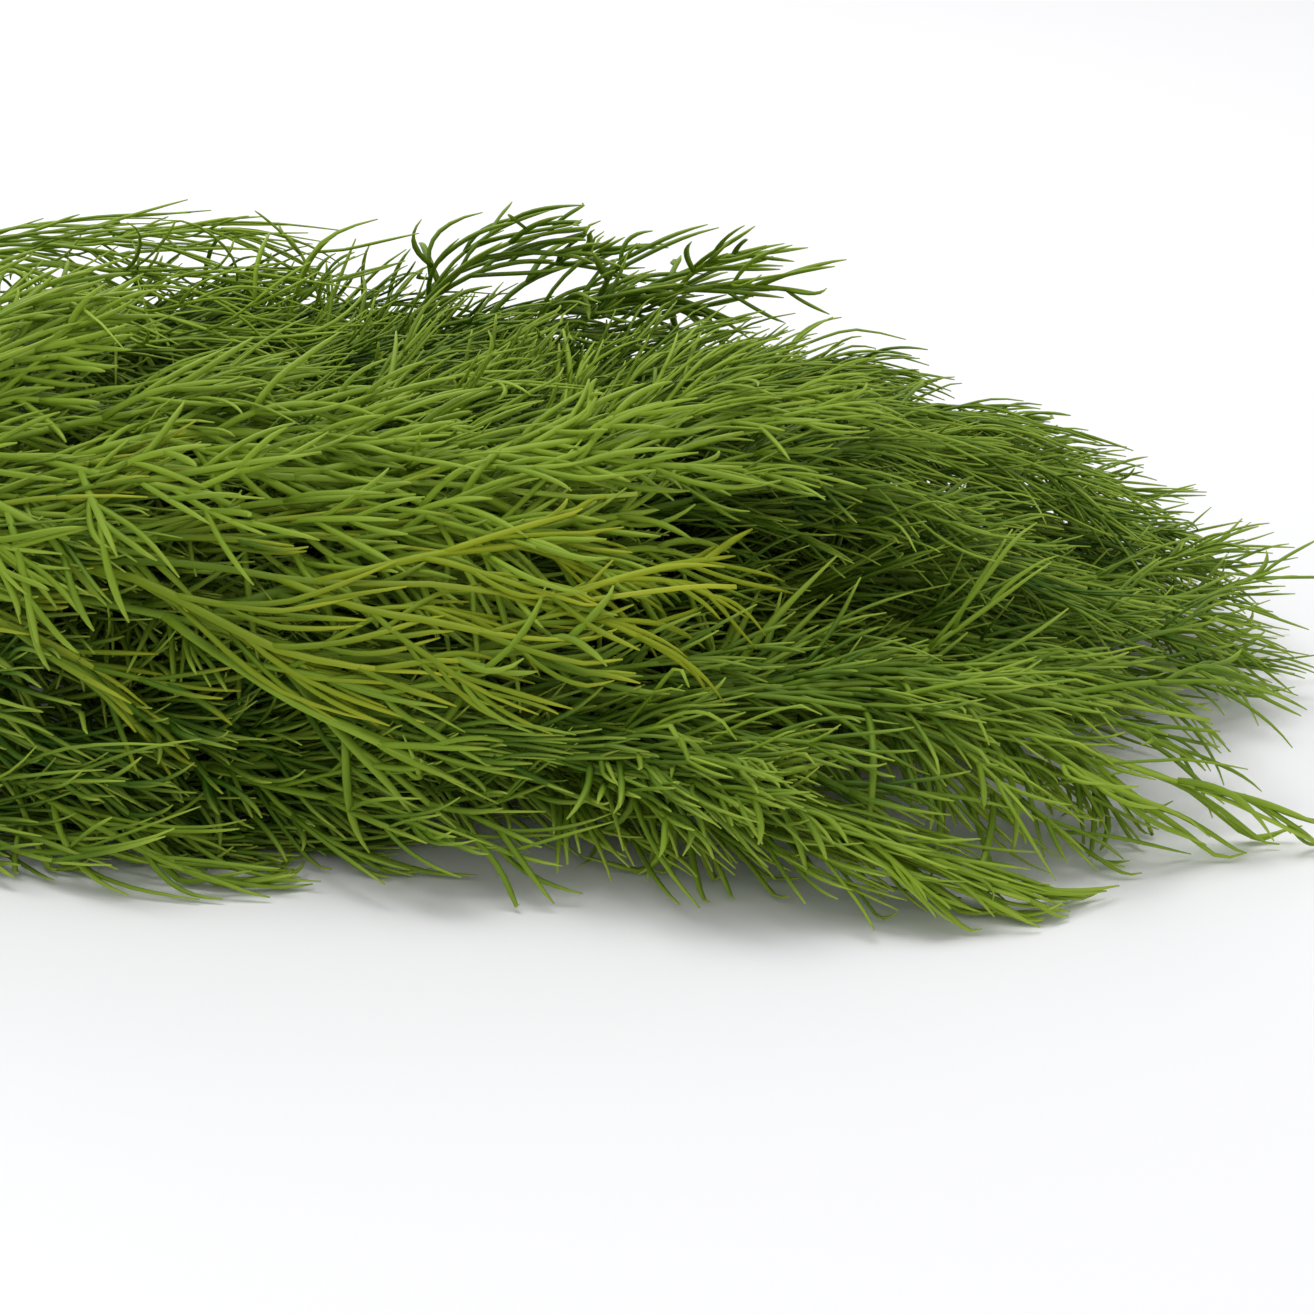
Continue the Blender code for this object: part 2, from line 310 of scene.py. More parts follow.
def stalk_finish():
    """Fresh dill stem: pale green flesh under a thin waxy skin that shines softly, with a darker
    green line in each groove and fine streaks along it. The cut face is wet, whitish flesh."""
    material, tree, shader = finish_named("dill stem")
    way = add(tree, "ShaderNodeAttribute", attribute_name="way")
    tone = add(tree, "ShaderNodeAttribute", attribute_name="tone")
    groove = add(tree, "ShaderNodeAttribute", attribute_name="groove")
    place = add(tree, "ShaderNodeTexCoord")
    # Streaks 12.5 mm long and 0.5 mm wide
    along = add(tree, "ShaderNodeMapping", {"Vector": place.outputs["Object"],
                "Scale": (scale_for(12.5), scale_for(0.5), scale_for(0.5))})
    streaks = add(tree, "ShaderNodeTexNoise", {"Vector": along.outputs["Vector"], "Scale": 1.0,
                  "Detail": 3.0})
    body = add(tree, "ShaderNodeMix", {"Factor": way.outputs["Fac"], "A": linear("#D3DC8A"),
               "B": linear("#96B244")}, data_type="RGBA")
    shade = add(tree, "ShaderNodeMix", {"Factor": tone.outputs["Fac"], "A": body.outputs["Result"],
                "B": linear("#9DB452")}, data_type="RGBA")
    lines = add(tree, "ShaderNodeMath", {0: groove.outputs["Fac"], 1: streaks.outputs["Fac"]},
                operation="MULTIPLY", use_clamp=True)
    skin = add(tree, "ShaderNodeMix", {"Factor": lines.outputs[0], "A": shade.outputs["Result"],
               "B": linear("#6E9230")}, data_type="RGBA")
    cut = add(tree, "ShaderNodeMapRange", {"Value": way.outputs["Fac"], "From Min": -0.3,
              "From Max": -0.6})
    whole = add(tree, "ShaderNodeMix", {"Factor": cut.outputs["Result"], "A": skin.outputs["Result"],
                "B": linear("#DDE2B8")}, data_type="RGBA")
    gloss = add(tree, "ShaderNodeMapRange", {"Value": streaks.outputs["Fac"], "To Min": 0.34,
                "To Max": 0.52})
    bump = add(tree, "ShaderNodeBump", {"Height": streaks.outputs["Fac"], "Strength": 0.4,
               "Distance": 0.15 * MM})
    tree.links.new(whole.outputs["Result"], shader.inputs["Base Color"])
    tree.links.new(gloss.outputs["Result"], shader.inputs["Roughness"])
    tree.links.new(bump.outputs["Normal"], shader.inputs["Normal"])
    shader.inputs["IOR"].default_value = 1.42
    return material


def joined(first, second, reach, rings):
    """The line along first, and on along second for reach, at even steps of X, smoothed. It passes
    halfway between the end of first and the start of second. Both are rows in order of X."""
    tail = second[second[:, 0] < second[0, 0] + reach]
    end = rows_at(second[:1, 0] + reach, second[:, 0], second)
    spots = np.concatenate((first[:-1], 0.5 * (first[-1:] + tail[:1]), tail[1:], end))
    steps = np.linspace(spots[0, 0], spots[-1, 0], rings)
    return eased(rows_at(steps, spots[:, 0], spots), 3)


NECK_REACH = 14.0            # how far a stalk runs on into its last frond, to its midrib's radius
NECK_POWER = 0.6             # of that way's share, so that it narrows soon
# The cut end, from the floor of the hollow over its rim and the cut face to the face's edge: how
# deep each ring lies in the stalk, and its share of the stalk's radius
CUT_DEPTHS = (5.0, 0.3, 0.0, 0.0)
CUT_SHARES = (0.4, 0.45, 0.5, 0.94)
CUT_EDGE = 0.12              # how far behind the face the stalk has its full radius


def stem_tube(stops, middles, widths, last_leaf, tone):
    """A stalk's tube: it narrows to the midrib's radius over its neck by a power of the way along
    it, and at the cut end it turns in over the cut face and down into the hollow."""
    line = joined(middles, last_leaf, NECK_REACH, STALK_RINGS)
    narrow = np.clip((line[:, 0] - stops[-1]) / NECK_REACH, 0.0, 1.0)
    radius = np.interp(line[:, 0], stops, widths)
    radius = radius + (MIDRIB_RADIUS - radius) * narrow ** NECK_POWER
    ahead = unit(np.gradient(line, axis=0))
    inside = line[:1] + np.array(CUT_DEPTHS)[:, None] * ahead[:1]
    path = np.concatenate((inside, line + (CUT_EDGE, 0.0, 0.0)))
    ahead = np.concatenate((np.repeat(ahead[:1], len(inside), axis=0), ahead))
    radius = np.concatenate((np.array(CUT_SHARES) * radius[0], radius))
    path[:, 2] = np.maximum(path[:, 2], np.maximum(radius, radius[len(inside)]) + OFF_TABLE)
    way = np.concatenate((np.full(len(inside), -1.0), np.linspace(0.0, 1.0, STALK_RINGS)))
    up = np.broadcast_to((0.0, 0.0, 1.0), path.shape)
    return {"points": tubes(path[None], radius[None], radius[None], up[None], STALK_SIDES,
                            ahead[None], rib_scale),
            "tone": tone, "way": way[None], "groove": rib_grooves}


SHEATH_RINGS = 26
SHEATH_LENGTH = 22.0         # along the stalk
SHEATH_REACH = 9.0           # and on along the frond
# The sheath's radius, as shares of the stalk's, at shares of its own length
SHEATH_STOPS = (0.0, 0.12, 0.45, 0.65)
SHEATH_SWELL = (0.9, 1.1, 1.3, 1.2)
SHEATH_THINS = (0.45, 0.95)  # between these shares it narrows to the midrib's radius
SHEATH_POWER = 0.8


def sheath_tube(stops, middles, widths, side_leaf, tone):
    """The sheath round a stalk, which runs on into the frond that it holds: its radius is a share
    of the stalk's, and narrows to the midrib's by a power of the way along it. Its colour starts a
    quarter of the way from the cut end's to the far end's."""
    start_x = side_leaf[0, 0]
    along_stalk = rows_at(np.linspace(start_x - SHEATH_LENGTH, start_x, 12), stops, middles)
    path = joined(along_stalk, side_leaf, SHEATH_REACH, SHEATH_RINGS)
    share = np.linspace(0.0, 1.0, SHEATH_RINGS)
    clasp = np.interp(path[:, 0], stops, widths) * np.interp(share, SHEATH_STOPS, SHEATH_SWELL)
    thin = np.interp(share, SHEATH_THINS, (0.0, 1.0))
    wide = clasp + (MIDRIB_RADIUS - clasp) * thin ** SHEATH_POWER
    path[:, 2] = np.maximum(path[:, 2], wide + OFF_TABLE)
    up = np.broadcast_to((0.0, 0.0, 1.0), path.shape)
    return {"points": tubes(path[None], wide[None], wide[None], up[None], STALK_SIDES, None,
                            rib_scale),
            "tone": tone, "way": 0.25 + 0.6 * share[None], "groove": rib_grooves}


stem_finish = stalk_finish()
stalk_names = sorted(name for name in frame["nodes"] if name.startswith("stalk"))
frond_names = sorted(name for name in frame["nodes"] if name.startswith("frond"))
rib_grooves = 0.5 - 0.5 * np.cos(STALK_RIBS * angles_round(STALK_SIDES))
rib_scale = 1.0 - RIB_DEPTH * rib_grooves
for number, name in enumerate(stalk_names):
    rng = np.random.default_rng(STALK_SEED + number)
    stops, middles, halves = stations_of(name)
    widths = np.linalg.norm(halves, axis=1)
    pair = [stations_of(frond)[1] for frond in frond_names[2 * number:2 * number + 2]]
    side_leaf, last_leaf = sorted(pair, key=lambda line: line[0, 0])
    stem = stem_tube(stops, middles, widths, last_leaf, rng.uniform(0.0, 0.6, 1))
    sheath = sheath_tube(stops, middles, widths, side_leaf, rng.uniform(0.0, 0.4, 1))
    piece = tube_piece(name + "_stem", [stem, sheath], stem_finish)
    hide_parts(name)

# ---------------------------------------------------------------------------------------------
# Fronds. Each is one dill leaf: a midrib with pairs of side branches, which branch twice more into
# soft threads under a millimetre thick. It grows along its CAD frond and spreads past its sides,
# so that neighbours mingle, and what meets the table lies on it.
# ---------------------------------------------------------------------------------------------
MIDRIB_END_RADIUS = 0.28
BRANCH_RADIUS = 0.38
TWIG_RADIUS = 0.31
THREAD_RADIUS = 0.27
TIP_RADIUS = 0.1
FLATNESS = 0.65              # a shoot's depth, of its width
TAPER_POWER = 1.7
RADIUS_RANGE = (0.85, 1.15)
FROND_SEED = 500             # added to a frond's number


class Shoots:
    """N curved shoots in a frond's own flat coordinates: along it, across it and over it. A place
    on a shoot is start + t heading + t^2 bend + t^3 wave, with t from 0 to 1. sway is the curl
    that a shoot hands on to its side shoots."""

    PARTS = ("start", "heading", "bend", "wave", "length", "tone", "sway")

    def __init__(self, *parts):
        for name, value in zip(self.PARTS, parts):
            setattr(self, name, value)

    def place(self, t):
        """Points at t, an N x M array."""
        t = t[..., None]
        return (self.start[:, None] + t * self.heading[:, None] + t ** 2 * self.bend[:, None]
                + t ** 3 * self.wave[:, None])

    def ahead(self, t):
        """Directions at t, an N x M array."""
        t = t[..., None]
        return unit(self.heading[:, None] + 2 * t * self.bend[:, None]
                    + 3 * t ** 2 * self.wave[:, None])

    def only(self, keep):
        """The shoots for which keep is true."""
        return Shoots(*(getattr(self, part)[keep] for part in self.PARTS))


# Side shoots come in pairs, a little out of step by chance and by side, closer towards the end
FIRST_PAIR = 0.4             # the first three are shares of the spacing
PAIR_CHANCE = 0.2
PAIR_STEP = 0.1
CROWDING = 0.85              # the power of the way along the parent
SHOOT_RANGE = (0.75, 1.25)   # by which angles and lengths differ
PULL_RANGE = (0.5, 1.3)
PARENT_WAY = 0.6             # a shoot bends back to this much of its parent's direction
LEAF_WAY = (0.4, 0.0, 0.0)   # and this much of the leaf's
CURL_HANDED_ON = 0.75
WAVE_OF_CURL = 0.35
TONE_CHANGE = 0.08


def side_shoots(rng, parents, first, spare, spacing, angles, length, tilt, pull, curl):
    """Pairs of shoots along each parent, from first to its end less spare, about spacing apart and
    closer towards the end. They leave at an angle that goes from angles[0] to angles[1], turned out
    of the leaf's plane by a random tilt, and bend back by the share pull towards the way that the
    leaf grows. They curl partly as their parent does and partly by chance. length gives their
    length from what is left of the parent."""
    room = np.maximum(parents.length - first - spare, 0.0)
    pairs = np.where(room > 0.0, np.floor(room / spacing) + 1.0, 0.0)[:, None]
    rank = np.arange(int(pairs.max()))[None]
    found = []
    for side in (-1.0, 1.0):
        chance = rng.uniform(-PAIR_CHANCE, PAIR_CHANCE, (len(room), rank.size))
        rise = rank + FIRST_PAIR + chance + PAIR_STEP * side
        share = np.clip(rise / np.maximum(pairs, 1.0), 0.0, 1.0)
        at = first + room[:, None] * share ** CROWDING
        keep = rank < pairs
        t = at / parents.length[:, None]
        start, ahead = parents.place(t)[keep], parents.ahead(t)[keep]
        rest = (parents.length[:, None] - at)[keep]
        share = share[keep]
        tone = np.broadcast_to(parents.tone[:, None], keep.shape)[keep]
        sway = np.broadcast_to(parents.sway[:, None], keep.shape + (3,))[keep]
        count = len(share)
        over = np.broadcast_to((0.0, 0.0, 1.0), ahead.shape)
        across = side * unit(np.cross(over, ahead))
        over = np.cross(ahead, across) * side
        turn = rng.normal(0.0, tilt, count)[:, None]
        out = np.cos(turn) * across + np.sin(turn) * over
        lean = angles[0] + (angles[1] - angles[0]) * share
        lean = (lean * rng.uniform(*SHOOT_RANGE, count))[:, None]
        leave = np.cos(lean) * ahead + np.sin(lean) * out
        size = length(rest) * rng.uniform(*SHOOT_RANGE, count)
        back = unit(PARENT_WAY * ahead + LEAF_WAY) - leave
        back = pull * back * rng.uniform(*PULL_RANGE, count)[:, None]
        sway = CURL_HANDED_ON * sway + rng.normal(0.0, curl, (count, 3))
        bend = 0.5 * (back + sway)
        wave = rng.normal(0.0, WAVE_OF_CURL * curl, (count, 3))
        tone = np.clip(tone + rng.normal(0.0, TONE_CHANGE, count), 0.0, 1.0)
        found.append(Shoots(start, leave * size[:, None], bend * size[:, None],
                            wave * size[:, None], size, tone, sway))
    return Shoots(*(np.concatenate([getattr(f, part) for f in found]) for part in Shoots.PARTS))


# How the midribs run along the CAD blades and beside them
LEAF_STEPS = 90
LEAF_EASING = 12             # rounds
ROUND_END = 2.0              # half widths under this are the blade's round ends
HELD_END = 15.0              # a midrib leaves its stalk without drift, and gets it over this
DRIFT_FROM = -20.0           # the drift's waves grow from here along X, over this reach
DRIFT_REACH = 40.0
DRIFT_OVER = 0.3             # their height, of their swing to the side
SIDE_WAVE = 22.0             # their lengths, divided by two pi
OVER_WAVE = 18.0
ROUTE_DRIFT = 0.3            # the share of the drift that a frond with a route keeps
ROUTE_EASING = 20            # rounds
LOOSE_FROM = 75.0            # towards the tips the bunch is loose, and stands higher
LOOSE_REACH = 30.0
TIP_LIFT = 0.2               # of the height
TIP_ROOM = 6.0


def drift(x, phase, swing, route):
    """How far a midrib stands beside and over the middle of its CAD blade at places x: two sine
    waves that grow from nothing. With a route, its shifts and a share of the waves, smoothed."""
    ease = np.clip((x - DRIFT_FROM) / DRIFT_REACH, 0.0, 1.0) * swing
    shift = np.stack((ease * np.sin(x / SIDE_WAVE + phase[0]),
                      ease * DRIFT_OVER * np.sin(x / OVER_WAVE + phase[1])), axis=-1)
    if route:
        stops = np.array(route, float)
        shift = rows_at(x, stops[:, 0], stops[:, 1:]) + ROUTE_DRIFT * shift
        shift = eased(shift, ROUTE_EASING)
    return np.column_stack((np.zeros(len(x)), shift))


def looseness(x):
    """Grows evenly from 0 to 1 along X where the bunch is getting loose."""
    return np.clip((x - LOOSE_FROM) / LOOSE_REACH, 0.0, 1.0)


def leaf_frame(node, phase, swing, route):
    """The line that a frond follows and the directions across and over it, at even steps: the
    middle of the CAD blade, smoothed, with its drift, and lifted towards the tips."""
    _, middles, halves = stations_of(node)
    across = unit(halves)
    round_end = np.linalg.norm(halves, axis=1) < ROUND_END
    across[round_end] = across[~round_end][0]
    way = np.concatenate(([0.0], np.cumsum(np.linalg.norm(np.diff(middles, axis=0), axis=1))))
    steps = np.linspace(0.0, way[-1], LEAF_STEPS)
    line = eased(rows_at(steps, way, middles), LEAF_EASING)
    side = eased(rows_at(steps, way, across), LEAF_EASING)
    line += drift(line[:, 0], phase, swing, route) * np.clip(steps / HELD_END, 0.0, 1.0)[:, None]
    line[:, 2] *= 1.0 + TIP_LIFT * looseness(line[:, 0])
    ahead = unit(np.gradient(line, axis=0))
    side = unit(side - (side * ahead).sum(-1, keepdims=True) * ahead)
    return steps, line, ahead, side, np.cross(ahead, side)


# The shape in which the fronds settle, measured on the CAD blades
OUTLINE_FROM = -60.0
OUTLINE_STOPS = 15
OUTLINE_NEAR = 12.0          # blades as near as this along X count at a stop
OUTLINE_INSET = 4.0          # threads turn in from this far inside it
EDGE_HEIGHT = 0.3            # of the height in the middle
LEAN_FAR = 0.2               # how much narrower the two sides are at the top
LEAN_NEAR = 0.08
LOOSE_OVER = 5.0             # how far threads stand out of the bunch, over it and beside it
LOOSE_BESIDE = 5.0
SAG = 0.004                  # of the distance from the midrib, squared
LOWEST = 0.6                 # where threads lie on the table
FOLD = 0.7                   # the share of a hyperbola, which turns up what would go under it

blades = np.concatenate([[v.co for v in frame["nodes"][name].data.vertices]
                         for name in frond_names]) / MM
outline_x = np.linspace(OUTLINE_FROM, cad_high.x / MM, OUTLINE_STOPS)
near = np.abs(blades[None, :, 0] - outline_x[:, None]) < OUTLINE_NEAR
outline_far = np.where(near, blades[None, :, 1], 0.0).max(axis=1)
outline_near = np.where(near, -blades[None, :, 1], 0.0).max(axis=1)
outline_z = np.where(near, blades[None, :, 2], 0.0).max(axis=1)


def carried(places, held):
    """Carries points from a frond's flat coordinates to where it grows, and lets the far ends of
    its side shoots sag. Returns the points and the direction over the frond at each."""
    steps, line, ahead, side, over = held
    along = np.clip(places[..., 0], steps[0], steps[-1])
    past = places[..., 0] - along
    up = rows_at(along, steps, over)
    spot = rows_at(along, steps, line) + past[..., None] * rows_at(along, steps, ahead)
    spot = spot + places[..., 1:2] * rows_at(along, steps, side) + places[..., 2:3] * up
    spot[..., 2] -= SAG * (places[..., 1] ** 2 + past ** 2)
    return spot, up


def settled(spot, room):
    """Lets points settle in the bunch. What stands past its sides turns in to within room[0] of
    them by a tanh, and what stands over its dome, half an ellipse on a low edge, leans down to
    within room[1] by an exponential. A hyperbola folds what goes under the table back on it."""
    spot = spot.copy()
    high = np.interp(spot[..., 0], outline_x, outline_z)
    up = np.clip(spot[..., 2] / high, 0.0, 1.0) ** 2
    wide = np.where(spot[..., 1] > 0.0,
                    np.interp(spot[..., 0], outline_x, outline_far) * (1.0 - LEAN_FAR * up),
                    np.interp(spot[..., 0], outline_x, outline_near) * (1.0 - LEAN_NEAR * up))
    wide = wide - OUTLINE_INSET
    beside = np.abs(spot[..., 1]) - wide
    turned = wide + room[0] * np.tanh(beside / room[0])
    spot[..., 1] = np.sign(spot[..., 1]) * np.where(beside > 0.0, turned, np.abs(spot[..., 1]))
    share = np.minimum(np.abs(spot[..., 1]) / (wide + LOOSE_BESIDE), 1.0)
    roof = high * (EDGE_HEIGHT + (1.0 - EDGE_HEIGHT) * np.sqrt(1.0 - share ** 2))
    roof += TIP_ROOM * looseness(spot[..., 0]) - OUTLINE_INSET
    above = np.maximum(spot[..., 2] - roof, 0.0)
    spot[..., 2] += room[1] * (1.0 - np.exp(-above / room[1])) - above
    lift = spot[..., 2] - LOWEST
    spot[..., 2] = LOWEST + FOLD * (np.sqrt(lift ** 2 + 1.0) - 1.0) + (1.0 - FOLD) * lift
    return spot


def fitting(shoots, held, room, most):
    """The shoots that find room: to settle, none of four points along them moves over most."""
    t = np.broadcast_to(np.linspace(0.0, 1.0, 4), (len(shoots.length), 4))
    spot = carried(shoots.place(t), held)[0]
    moved = np.linalg.norm(settled(spot, room) - spot, axis=-1).max(axis=1)
    return shoots.only(moved < most)


def threads_of(rng, shoots, held, room, radius, end_radius, even, rings, sides):
    """Closed tubes along the shoots where they lie: of even width over the share even of their
    length, then narrowing to their ends by a power, and flatter over than across."""
    t = np.linspace(0.0, 1.0, rings) ** 0.9
    spot, up = carried(shoots.place(np.broadcast_to(t, (len(shoots.length), rings))), held)
    taper = 1.0 - (np.maximum(t - even, 0.0) / (1.0 - even)) ** TAPER_POWER
    full = radius * rng.uniform(*RADIUS_RANGE, (len(shoots.length), 1))
    wide = end_radius + (full - end_radius) * taper
    return {
        "points": tubes(settled(spot, room), wide, wide * FLATNESS, up, sides),
        "tone": shoots.tone,
        "way": np.broadcast_to(t, spot.shape[:2]),
        # Marks the top side of each thread, where the leaf's finish paints the shade of a channel
        "groove": np.maximum(np.sin(angles_round(sides)), 0.0) ** 4,
    }


def frond_finish(name, deep, fresh, tip):
    """Fresh dill leaf: a thin waxy skin over soft flesh. It gives a soft sheen, a green between
    deep and fresh that differs by spray, threads that are paler at their ends, in the colour tip,
    and painted shade along the top of each thread: a band darkened towards deep, standing in for
    the shade in a channel that the tube itself doesn't have."""
    material, tree, shader = finish_named(name)
    way = add(tree, "ShaderNodeAttribute", attribute_name="way")
    tone = add(tree, "ShaderNodeAttribute", attribute_name="tone")
    channel = add(tree, "ShaderNodeAttribute", attribute_name="groove")
    place = add(tree, "ShaderNodeTexCoord")
    # Patches 8.33 mm across, and the skin's grain 0.625 mm, coarser than a real one so that it shows
    patches = add(tree, "ShaderNodeTexNoise", {"Vector": place.outputs["Object"],
                  "Scale": scale_for(8.33), "Detail": 2.0})
    grain = add(tree, "ShaderNodeTexNoise", {"Vector": place.outputs["Object"],
                "Scale": scale_for(0.625), "Detail": 3.0})
    swing = add(tree, "ShaderNodeMath", {0: patches.outputs["Fac"], 1: 0.5, 2: tone.outputs["Fac"]},
                operation="MULTIPLY_ADD")
    depth = add(tree, "ShaderNodeMath", {0: swing.outputs[0], 1: 0.25}, operation="SUBTRACT",
                use_clamp=True)
    body = add(tree, "ShaderNodeMix", {"Factor": depth.outputs[0], "A": linear(deep),
               "B": linear(fresh)}, data_type="RGBA")
    ends = add(tree, "ShaderNodeMath", {0: way.outputs["Fac"], 1: 3.0}, operation="POWER")
    shade = add(tree, "ShaderNodeMix", {"Factor": ends.outputs[0], "A": body.outputs["Result"],
                "B": linear(tip)}, data_type="RGBA")
    # Painted shade: the top side of each thread, marked by groove, is mixed 0.3 of the way to deep,
    # for the shade in a channel that the tube doesn't have
    painted_channel_shade = add(tree, "ShaderNodeMath", {0: channel.outputs["Fac"], 1: 0.3}, operation="MULTIPLY")
    whole = add(tree, "ShaderNodeMix", {"Factor": painted_channel_shade.outputs[0], "A": shade.outputs["Result"],
                "B": linear(deep)}, data_type="RGBA")
    gloss = add(tree, "ShaderNodeMapRange", {"Value": grain.outputs["Fac"], "To Min": 0.42,
                "To Max": 0.62})
    bump = add(tree, "ShaderNodeBump", {"Height": grain.outputs["Fac"], "Strength": 0.35,
               "Distance": 0.1 * MM})
    tree.links.new(whole.outputs["Result"], shader.inputs["Base Color"])
    tree.links.new(gloss.outputs["Result"], shader.inputs["Roughness"])
    tree.links.new(bump.outputs["Normal"], shader.inputs["Normal"])
    shader.inputs["Specular IOR Level"].default_value = 0.2
    return material


green_finish = frond_finish("fresh dill leaf", "#335A06", "#92AE2A", "#A9C144")
yellow_finish = frond_finish("dill leaf turning yellow", "#39640A", "#A9B51E", "#BCC232")
yellow_frond = next(row["node"] for row in frame["record"]["subparts"]
                    if row["material_slot"] == "frond_yellow")

# How single fronds differ from the rest: lean is the spread of their side shoots, bold their
# thickness, sparse their spacing, bare the share of the midrib before the first, curl and rise how
# they twist and turn up, reach the share of the CAD blade's length, room how far they stand out of
# the bunch beside and over it, tone their green from dark to light, at the stalk and at the tip.
# route moves the midrib, as X with shifts along Y and Z.
HABITS = {
    "frond_01": {"tone": (0.0, 0.9), "lean": 0.7, "bold": 1.2, "room": (14.0, 7.0), "sparse": 0.8,
                 "route": ((30, 2, 1), (60, 7, 6), (78, 6, 9), (96, -4, 6), (118, -13, 1))},
    "frond_02": {"tone": (0.4, 0.8), "lean": 1.1, "bold": 1.2, "rise": -0.1, "sparse": 0.8,
                 "room": (14.0, 7.0), "curl": 0.22,
                 "route": ((0, -4, 0), (30, -6, 0), (45, -5, 0), (60, 0, 0), (100, 3, 5),
                           (120, -3, 5), (138, -16, 3), (150, -31, -2))},
    "frond_03": {"tone": (0.0, 0.5), "lean": 0.85, "bold": 1.15, "rise": -0.08, "sparse": 0.8,
                 "route": ((60, 0, 2), (97, 0, 2), (112, -1, 3), (125, -2, 3), (140, -3, 2))},
    "frond_04": {"tone": (0.35, 0.65), "lean": 1.5, "bold": 1.5, "curl": 0.3, "sparse": 1.15,
                 "reach": 0.85,
                 "route": ((0, 0, 4), (20, -2, 5), (50, -3, 2), (72, -4, -6), (110, -4, -8))},
    "frond_05": {"tone": (0.0, 0.95), "lean": 0.75, "bold": 1.2, "curl": 0.16, "sparse": 1.75,
                 "reach": 0.94, "rise": -0.14,
                 "route": ((20, -2, 1), (40, -5, 3), (56, -6, 5), (86, -4, 5), (98, 0, 0))},
    "frond_06": {"tone": (0.7, 1.0), "lean": 1.15, "bold": 1.3, "sparse": 0.85,
                 "room": (5.0, 11.0),
                 "route": ((0, 3, 5), (18, 5, 5), (35, 6, 3), (60, 7, 4), (82, 6, 4))},
    "frond_08": {"bare": 0.02, "lean": 1.3},
    "frond_09": {"bare": 0.02, "lean": 1.3},
    "frond_12": {"tone": (0.1, 0.5), "rise": 0.06,
                 "route": ((20, 0, -4), (40, 0, -7), (75, 0, -4), (99, 0, 0))},
    "frond_13": {"tone": (0.6, 0.95), "lean": 0.95, "bold": 1.1, "rise": 0.1, "room": (5.0, 8.0),
                 "route": ((20, 0, -10), (45, 0, -10), (60, 0, -7), (80, 0, -1), (99, 0, 4))},
    "frond_14": {"tone": (0.7, 0.9), "lean": 1.3, "curl": 0.3,
                 "route": ((0, 0, -4), (25, 0, -9), (74, 0, -15))},
    "frond_22": {"tone": (0.3, 0.7), "rise": 0.14, "lean": 0.9,
                 "route": ((0, 0, 0), (18, 0, -3), (34, 0, -12), (50, 0, -13), (80, 0, -5))},
    "frond_23": {"tone": (0.3, 0.6), "rise": 0.05,
                 "route": ((0, 0, 0), (18, 0, -3), (34, 0, -13), (50, 0, -15), (98, 0, -5))},
    "frond_24": {"tone": (0.7, 0.9), "lean": 1.6, "curl": 0.5, "rise": 0.2, "room": (5.0, 9.0),
                 "reach": 0.82,
                 "route": ((-12, 0, 3), (6, 0, 1), (20, 0, -7), (34, 0, -15), (64, 0, -30))},
    "frond_30": {"tone": (0.1, 0.45), "route": ((30, 0, -6), (50, 0, -10), (80, 0, -5))},
    "frond_31": {"tone": (0.1, 0.45), "route": ((20, 0, -8), (50, 0, -15), (80, 0, -8))},
    "frond_32": {"tone": (0.25, 0.55), "lean": 1.5, "bold": 1.5, "sparse": 0.8, "rise": 0.03,
                 "curl": 0.17, "room": (5.0, 25.0), "reach": 0.9,
                 "route": ((-20, 0, -9), (10, 0, -25), (36, 0, -26), (50, 0, -16), (62, 0, -5),
                           (105, 0, 2))},
    "frond_38": {"tone": (0.1, 0.4), "route": ((20, 0, -7), (50, 0, -12), (80, 0, -8))},
}
